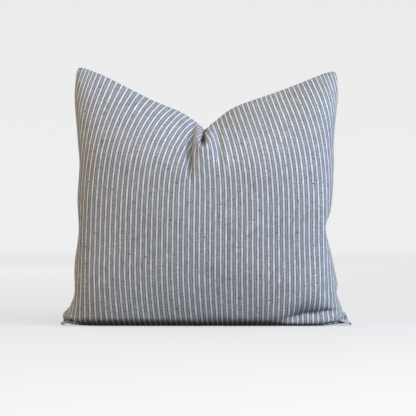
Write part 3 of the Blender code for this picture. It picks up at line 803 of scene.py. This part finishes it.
FINISHES = {
    "striped_cotton": slub_chambray_stripe(),
    "white_cotton": plain_cloth("cotton, plain woven and bleached", "#f3f1eb", "#dcd9d0", 0.8, 0.15, 0.9),
    "polyester_fibre": polyester_wadding(),
    "zip_tape": plain_cloth(
        "polyester tape, herringbone woven", "#5c6675", "#434c5a", 1.1, 0.1, 0.75, stretch=(1, 1, 0.4)
    ),
    "nylon_coil": nylon_monofilament(),
    "nickel_plate": nickel_plated_zinc(),
    "sewing_thread": plain_cloth("polyester thread, spun", "#7d8795", "#5f6977", 0.5, 0.2, 0.7, 0.1),
    "satin_label": plain_cloth("polyester satin, woven ribbon", "#f6f4ee", "#e6e3da", 0.5, 0.3, 0.42, 0.05),
}


# ---------------------------------------------------------------- stitching and the zip


def edge_run(panels, edge, first, last, steps):
    """The seam, inward and forward directions at equal steps between two shares of one sewn edge."""
    fine = doubled(panels)
    count = len(fine[0])
    rows, columns = rim_loop(count)
    chosen = {"left": columns == 0, "right": columns == count - 1, "top": rows == count - 1}[edge]
    order = np.argsort((columns if edge == "top" else rows)[chosen], kind="stable")
    lines = [line[chosen][order] for line in seam_frame(*fine)[:3]]
    run = run_along(lines[0])
    at = run[-1] * np.linspace(first, last, steps)
    return [np.stack([np.interp(at, run, line[:, axis]) for axis in range(3)], 1) for line in lines]


def make_overlock(panels, edge):
    """Overlock stitching: a thread that loops round the raw edge of the two seam allowances."""
    seam, inward, forward = edge_run(panels, edge, *OVERLOCK_SPAN[edge], OVERLOCK_STITCHES * 4)
    deep = np.tile([5.0, 8.3, 5.0, 8.3], OVERLOCK_STITCHES)[:, None] * MM
    aside = np.tile([0.85, 0.0, -0.85, 0.0], OVERLOCK_STITCHES)[:, None] * MM
    points, faces = tubes([seam + inward * deep + forward * aside], 0.18 * MM, 5)
    make_piece(f"overlock_{edge}", points, faces, "sewing_thread", f"overlock_thread_{edge}")


def loft(section, along):
    """A closed (y, z) outline carried along x, closed at its ends."""
    points = [(x, y, z) for x in along for y, z in section]
    index = np.arange(len(points)).reshape(len(along), len(section))
    around = np.roll(index, -1, axis=1)
    faces = np.stack([index[:-1], around[:-1], around[1:], index[1:]], -1).reshape(-1, 4).tolist()
    return points, [*faces, index[0][::-1].tolist(), index[-1].tolist()]


def make_tape(side, out):
    """A woven tape: a corded edge by the coil, a flat web and a thinner selvedge."""
    low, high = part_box(f"zip_tape_{side}")
    near, far = sorted((abs(low[1]), abs(high[1])))
    base, thick = low[2], high[2] - low[2]
    # Shares of the tape's width and thickness, along its lower face.
    cord = [(0, 0.5), (0.03, 0.12), (0.10, 0.0), (0.17, 0.12), (0.22, 0.2)]
    half = cord + [(0.9, 0.2), (0.97, 0.28), (1, 0.5)]
    outline = half + [(share, 1 - rise) for share, rise in half[-2:0:-1]]
    section = [(out * (near + share * (far - near)), base + rise * thick) for share, rise in outline]
    points, faces = loft(section[::-out], np.linspace(low[0], high[0], 120))
    make_piece(f"zip_tape_{side}_woven", points, faces, "zip_tape", f"zip_tape_{side}")


def make_coil(side, out):
    """A coil of teeth: one thread of nylon, wound to the size that the frame gives the coil."""
    low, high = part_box(f"zip_coil_{side}")
    turns = np.arange(COIL_TEETH * STEPS_A_TOOTH) / STEPS_A_TOOTH
    angle = 2 * math.pi * (turns + (0.5 if out > 0 else 0))
    reach = (max(abs(low[1]), abs(high[1])) - COIL_WIRE) / 2
    rise = (high[2] - low[2]) / 2 - COIL_WIRE
    x = low[0] + COIL_WIRE + (high[0] - low[0] - 2 * COIL_WIRE) * turns / COIL_TEETH
    y = out * (reach - reach * np.cos(angle))
    z = (low[2] + high[2]) / 2 + rise * np.sin(angle)
    points, faces = tubes([np.stack([x, y, z], 1)], COIL_WIRE)
    make_piece(f"zip_coil_{side}_teeth", points, faces, "nylon_coil", f"zip_coil_{side}")


def make_zip_stitches(side):
    """The row of stitches that holds a tape to the folded edge of its panel."""
    low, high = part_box(f"zip_stitching_{side}")
    along = np.array([0.05, 0.14, 0.5, 0.86, 0.95]) * ZIP_STITCH
    height = np.array([0.42, 0.12, 0.02, 0.12, 0.42]) * MM + (low[2] + high[2]) / 2
    middle = np.full(len(along), (low[1] + high[1]) / 2)
    starts = np.arange(low[0], high[0] - ZIP_STITCH, ZIP_STITCH)
    points, faces = tubes([np.stack([start + along, middle, height], 1) for start in starts], 0.24 * MM)
    make_piece(f"zip_stitches_{side}", points, faces, "sewing_thread", f"zip_stitching_{side}")


def make_bar_tack(side):
    """A bar tack: a thread to and fro across the seam past the end of the zip."""
    low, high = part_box(f"bar_tack_{side}")
    thread = 0.2 * MM
    across = np.linspace(low[1] + thread, high[1] - thread, BAR_TACK_PASSES)
    x = np.where(np.arange(BAR_TACK_PASSES) % 2 == 0, low[0] + thread, high[0] - thread)
    path = np.stack([x, across, np.full(BAR_TACK_PASSES, (low[2] + high[2]) / 2)], 1)
    points, faces = tubes([path], thread)
    make_piece(f"bar_tack_{side}_zigzag", points, faces, "sewing_thread", f"bar_tack_{side}")


# ---------------------------------------------------------------- the insert and the labels


def nearest_tree(points):
    """A tree that finds the nearest of some points."""
    tree = KDTree(len(points))
    for index, point in enumerate(points):
        tree.insert(point, index)
    tree.balance()
    return tree


def sampled(grid, share, count):
    """A grid again with count points a side, from the part of it that starts a share in from its edge."""
    at = np.linspace(share, 1 - share, count) * (len(grid) - 1)
    low = np.minimum(at.astype(int), len(grid) - 2)
    part = (at - low)[:, None, None]
    rows = grid[low] * (1 - part) + grid[low + 1] * part
    part = (at - low)[None, :, None]
    return rows[:, low] * (1 - part) + rows[:, low + 1] * part


def inside_form(panels, share, gap, count=65):
    """A closed form gap metres inside the cover: front and back grids that meet at their edges."""
    front, back = [eased(sampled(panel, share, count), 6) for panel in panels]
    middle, half = (front + back) / 2, (front - back) / 2
    run = np.linspace(0, 1, count)
    in_from_edge = np.minimum(np.minimum(run, 1 - run)[:, None], np.minimum(run, 1 - run)[None])
    rounding = np.sqrt(1 - (1 - np.clip(in_from_edge / 0.09, 0, 1)) ** 2)[..., None]
    length = np.linalg.norm(half, axis=-1, keepdims=True)
    thick = np.maximum(length - gap * 1.2, 0.3 * length) * rounding
    halves = [middle + unit(half) * thick, middle - unit(half) * thick]
    made = []
    for grid, (number, side) in zip(halves, PANELS):
        cloth = panels[number][::2, ::2].reshape(-1, 3)
        outward_there = along_normal(panels[number], side)[::2, ::2].reshape(-1, 3)
        tree = nearest_tree(cloth)
        for _ in range(2):
            flat = grid.reshape(-1, 3)
            near = [tree.find(point)[1] for point in flat]
            out = ((flat - cloth[near]) * outward_there[near]).sum(-1)
            flat -= outward_there[near] * np.maximum(out + gap, 0)[:, None] * rounding.reshape(-1, 1)
            grid = flat.reshape(count, count, 3)
        # It clears the zip, and the curl of the cloth at the foot.
        over_zip = np.clip((28 * MM - np.abs(grid[..., 1])) / (10 * MM), 0, 1)
        by_curl = np.clip((np.abs(grid[..., 1]) - 32 * MM) / (20 * MM), 0, 1.2)
        lowest = 3.5 * MM + gap * 0.4 + 10 * MM * over_zip + 12 * MM * by_curl
        grid[..., 2] = np.maximum(grid[..., 2], lowest)
        # It doesn't reach into the ears.
        reach = 0.168 + 0.025 * np.clip(grid[..., 2] / 0.05, 0, 1) + np.maximum(grid[..., 2] - 0.06, 0)
        grid[..., 0] = np.clip(grid[..., 0], -reach, reach)
        made.append(grid)
    rows, columns = rim_loop(count)
    rim = (made[0][rows, columns] + made[1][rows, columns]) / 2
    made[0][rows, columns] = made[1][rows, columns] = rim
    return made


def make_case(panels):
    """The insert's cotton case, of two panels."""
    casing = inside_form(panels, 0.022, CASE_GAP)
    count = len(casing[0])
    chart = np.stack(np.meshgrid(*[np.linspace(0.01, 0.99, count)] * 2), -1).reshape(-1, 2)
    for side, out, grid in (("front", -1, casing[0]), ("back", 1, casing[1])):
        points = grid + (0, out * 0.12 * MM, 0)
        faces = grid_faces(count, count, flip=out > 0)
        maps = {"OFBake": chart[faces].reshape(-1, 2)}
        name, node = f"insert_case_{side}", f"insert_casing_{side}"
        piece = make_piece(name, points, faces, "white_cotton", node, maps)
        shell = piece.modifiers.new("thickness", "SOLIDIFY")
        shell.thickness, shell.offset = 0.35 * MM, -1
    return casing


def make_filling(panels):
    """The blown fibre, one lumpy body inside the case."""
    filling = inside_form(panels, 0.04, FILLING_GAP)
    count = len(filling[0])
    rows, columns = rim_loop(count)
    back_index = count * count + np.arange(count * count).reshape(count, count)
    back_index[rows, columns] = rows * count + columns
    back_faces = back_index.reshape(-1)[grid_faces(count, count, flip=True)]
    used, faces = np.unique(np.concatenate([grid_faces(count, count), back_faces]), return_inverse=True)
    points = np.concatenate([grid.reshape(-1, 3) for grid in filling])[used]
    lumps = [noise.noise(Vector(point * 28)) + 0.5 * noise.noise(Vector(point * 70)) for point in points]
    core = points.mean(0)
    points = points + unit(core - points) * (2.5 * MM * (1 + np.array(lumps)[:, None])).clip(0)
    points[:, 2] = np.maximum(points[:, 2], 9 * MM)
    faces = faces.reshape(-1, 4)
    piece = make_piece("insert_fibre", points, faces, "polyester_fibre", "insert_filling")


def make_closing_stitches(casing):
    """Hand stitches over the edge of the case's top seam, where the filling went in."""
    rim = evenly(casing[0][-1], 400)[24:-24]
    over_edge = np.array([(0, -0.6, -0.4), (0, -0.2, 0.5), (0, 0.6, -0.3)]) * MM
    stitches = [rim[at : at + 3] + over_edge for at in range(0, len(rim) - 2, 3)]
    points, faces = tubes(stitches, 0.2 * MM)
    name, node = "insert_closing_stitches", "insert_seam_thread"
    make_piece(name, points, faces, "sewing_thread", node)


def make_label(name, node, surface_grid, side, lift):
    """A blank satin care label, folded double and laid on a surface where the frame has it."""
    low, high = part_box(node)
    columns, rows = 14, 40
    flat = surface_grid.reshape(-1, 3)
    tree = nearest_tree(flat * (1, 0, 1))
    normal = along_normal(surface_grid, side).reshape(-1, 3)
    points = np.zeros((rows, columns, 3))
    for row in range(rows):
        for column in range(columns):
            x = low[0] + (high[0] - low[0]) * column / (columns - 1)
            z = low[2] + (high[2] - low[2]) * row / (rows - 1)
            found = tree.find_n((x, 0, z), 4)
            weight = np.array([1 / (distance + MM) for _, _, distance in found])
            weight /= weight.sum()
            chosen = [index for _, index, _ in found]
            y = (flat[chosen, 1] * weight).sum()
            points[row, column] = np.array((x, y, z)) + (normal[chosen] * weight[:, None]).sum(0) * lift
    points[1:-1, 1:-1] = eased(points, 8)[1:-1, 1:-1]
    faces = grid_faces(rows, columns, flip=side > 0)
    chart = np.stack(np.meshgrid(np.linspace(0.02, 0.98, columns), np.linspace(0.02, 0.98, rows)), -1)
    maps = {"OFBake": chart.reshape(-1, 2)[faces].reshape(-1, 2)}
    piece = make_piece(name, points, faces, "satin_label", node, maps)
    fold = piece.modifiers.new("folded cloth", "SOLIDIFY")
    fold.thickness, fold.offset = 0.4 * MM, 0


def plate_metal():
    """The metal parts keep the frame's shape and take a plated finish."""
    for node in METAL_NODES:
        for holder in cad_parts[node].material_slots:
            holder.material = FINISHES["nickel_plate"]


# ---------------------------------------------------------------- the studio


def facing(thing, place, target):
    """Puts a lamp or a camera at a place, facing a target."""
    thing.location = place
    thing.rotation_euler = (Vector(target) - Vector(place)).to_track_quat("-Z", "Y").to_euler()
    bpy.context.collection.objects.link(thing)


def build_paper():
    """A pale paper bowl to stand in, which doesn't throw its light back on the pillow."""
    material, tree = new_material("paper sweep, matt")
    place = add(tree, "TexCoord").outputs["Object"]
    away = add(tree, "VectorMath", {0: place}, operation="LENGTH").outputs["Value"]
    grain = add(tree, "TexNoise", {"Vector": place, "Scale": 900.0, "Detail": 2.0})
    shading = {
        "Base Color": add(tree, "ValToRGB", {0: grain}, stops=[(0.3, "#898989"), (0.7, "#8b8b8b")]),
        "Roughness": 1.0,
        "Specular IOR Level": 0.0,
        "Emission Color": (1, 1, 1, 1),
        "Emission Strength": add(
            tree, "MapRange", {0: away, 1: 0.6, 2: 6.0, 3: PAPER_GLOW[0], 4: PAPER_GLOW[1]}
        ),
    }
    surface(tree, shading)
    turn = [(6 + 3 * math.sin(a), 3 - 3 * math.cos(a)) for a in np.linspace(0, math.pi / 2, 20)]
    outline = [(0.001, 0.0), (1.0, 0.0), (3.0, 0.0), *turn, (9.0, 12.0)]
    rounds = [2 * math.pi * side / 64 for side in range(64)]
    points = [(far * math.cos(a), far * math.sin(a), height) for far, height in outline for a in rounds]
    index = np.arange(len(points)).reshape(len(outline), len(rounds))
    around = np.roll(index, -1, axis=1)
    faces = np.stack([index[:-1], around[:-1], around[1:], index[1:]], -1).reshape(-1, 4).tolist()
    mesh = bpy.data.meshes.new("paper_sweep")
    mesh.from_pydata(points, [], faces)
    mesh.polygons.foreach_set("use_smooth", [True] * len(mesh.polygons))
    mesh.materials.append(material)
    sweep = bpy.data.objects.new("paper_sweep", mesh)
    sweep.visible_diffuse = sweep.visible_glossy = sweep.visible_shadow = False
    bpy.context.collection.objects.link(sweep)


def build_sky():
    """Soft light from above the horizon, and a dim warm light from below, as off a wooden seat."""
    world = bpy.data.worlds.new("studio")
    world.use_nodes = True
    tree = world.node_tree
    height = add(tree, "SeparateXYZ", {0: add(tree, "TexCoord").outputs["Generated"]}).outputs[2]
    height = add(tree, "MapRange", {0: height, 1: -1, 2: 1})
    stops = [(0.0, "#22150e"), (0.5, "#33261f"), (0.62, "#d2d2d2"), (1.0, "#c9cccf")]
    sky = add(tree, "ValToRGB", {0: height}, stops=stops)
    tree.links.new(sky.outputs[0], tree.nodes["Background"].inputs[0])
    tree.nodes["Background"].inputs[1].default_value = SKY_STRENGTH
    bpy.context.scene.world = world


def build_lamps_and_camera():
    """Five soft boxes, and a long lens level with the pillow."""
    for name, (place, size, power, code) in SOFT_BOXES.items():
        data = bpy.data.lights.new(name, "AREA")
        data.shape, data.size, data.size_y = "RECTANGLE", *size
        data.energy, data.color = power, linear(code)[:3]
        facing(bpy.data.objects.new(name, data), place, SOFT_BOX_AIM)
    data = bpy.data.cameras.new("camera")
    data.lens, data.sensor_width, data.clip_end = -SENSOR * CAMERA_PLACE[1] / VIEW_WIDTH, SENSOR, 50
    camera = bpy.data.objects.new("camera", data)
    facing(camera, CAMERA_PLACE, CAMERA_AIM)
    bpy.context.scene.camera = camera
    bpy.context.scene.view_settings.view_transform = "Standard"


# ---------------------------------------------------------------- the whole


build_paper()
build_sky()
build_lamps_and_camera()
cover = settled_cover()
for side_name, (panel_number, faces_y) in zip(("front", "back"), PANELS):
    make_panel(side_name, panel_number, faces_y, cover)
    make_tape(side_name, faces_y)
    make_coil(side_name, faces_y)
    make_zip_stitches(side_name)
for edge_name in OVERLOCK_SPAN:
    make_overlock(cover, edge_name)
for end_name in ("left", "right"):
    make_bar_tack(end_name)
case = make_case(cover)
make_filling(cover)
make_closing_stitches(case)
make_label("cover_label_ribbon", "cover_care_label", cover[1], 1, -2.4 * MM)
make_label("insert_label_ribbon", "insert_care_label", case[1], 1, 0.9 * MM)
plate_metal()
